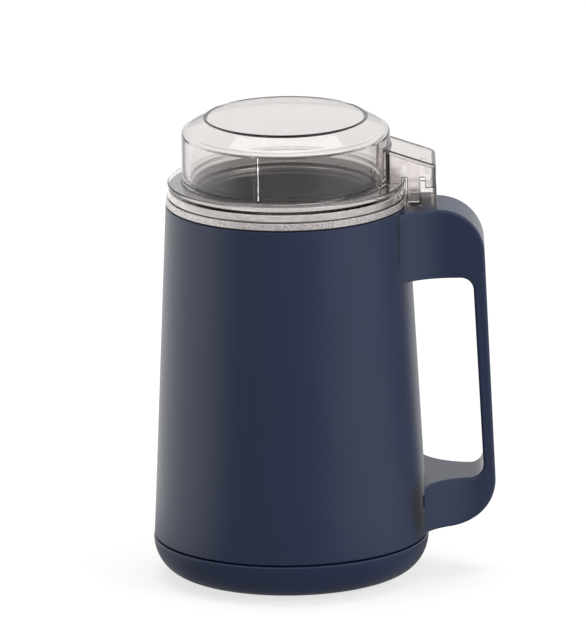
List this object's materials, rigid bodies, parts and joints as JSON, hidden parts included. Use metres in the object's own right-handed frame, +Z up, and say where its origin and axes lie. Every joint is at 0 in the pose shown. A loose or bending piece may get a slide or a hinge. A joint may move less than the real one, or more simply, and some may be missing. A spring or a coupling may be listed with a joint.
{
  "type": "electric coffee grinder",
  "caption": "Blade coffee grinder with a tapered round body, a loop handle and a clear lid that starts the motor when it is pressed down.",
  "frame": {"origin": "on the axis of the round body, in the plane that the rubber feet stand on", "axes": "+Z up along the axis of the body and the motor, +X from the axis towards the handle"},
  "size_m": [0.1332, 0.109, 0.1826],
  "materials": {
    "navy_plastic": "satin",
    "clear_plastic": "clear, polished",
    "brushed_steel": "brushed",
    "plain_steel": "bright",
    "black_plastic": "matte",
    "rubber": "matte",
    "laminations": "lacquered steel sheet",
    "copper": "enamelled wire",
    "bronze": "sintered",
    "aluminium": "die cast",
    "carbon": "pressed graphite",
    "capacitor_case": "moulded",
    "lead_sheath": "soft sheath"
  },
  "bodies": {
    "housing": {"back_brush_spring": "plain_steel", "base_cover": "navy_plastic", "base_screws": "plain_steel", "body_shell": "navy_plastic", "bowl_gasket": "rubber", "bracket_screws": "plain_steel", "brush_holders": "bronze", "brush_lead": "lead_sheath", "capacitor": "capacitor_case", "carbon_brushes": "carbon", "cord_gland": "rubber", "field_coils": "copper", "front_brush_spring": "plain_steel", "grinding_bowl": "brushed_steel", "handle": "navy_plastic", "handle_screws": "plain_steel", "isolators": "rubber", "lower_bush": "bronze", "lower_frame": "aluminium", "microswitch": "black_plastic", "motor_bolts": "plain_steel", "motor_screws": "plain_steel", "plunger_spring": "plain_steel", "rubber_feet": "rubber", "shaft_seal": "black_plastic", "stator_core": "laminations", "steel_collar": "brushed_steel", "supply_lead": "lead_sheath", "switch_bracket": "plain_steel", "switch_pins": "plain_steel", "switch_socket": "clear_plastic", "switch_terminals": "copper", "upper_bush": "bronze", "upper_frame": "aluminium"},
    "plunger": {"plunger_bar": "black_plastic", "plunger_stem": "black_plastic"},
    "lid": {"lid_dome": "clear_plastic", "lid_snout": "clear_plastic"},
    "rotor": {"motor_shaft": "plain_steel", "armature_core": "laminations", "armature_winding": "copper", "commutator": "copper", "cooling_fan": "black_plastic", "blade_spacer": "plain_steel", "blade": "plain_steel", "blade_nut": "plain_steel"},
    "switch_button": {"switch_button": "black_plastic"}
  },
  "joints": [
    {"name": "lid_press", "type": "slide", "parent": "housing", "child": "plunger", "axis": [0, 0, 1], "range_m": [-0.0012, 0], "stiffness_N_per_m": 1200, "springref_m": 0.0015, "deforming": ["plunger_spring"]},
    {"name": "lid_lift", "type": "slide", "parent": "plunger", "child": "lid", "axis": [0, 0, 1], "range_m": [0, 0.06]},
    {"name": "blade_spin", "type": "hinge", "parent": "housing", "child": "rotor", "pos_m": [0, 0, 0], "axis": [0, 0, 1], "continuous": true},
    {"name": "button_press", "type": "slide", "parent": "housing", "child": "switch_button", "axis": [0, 0, 1], "range_m": [-0.0012, 0]}
  ],
  "couplings": [
    {"joint": "button_press", "follows": "lid_press", "ratio": 1}
  ]
}
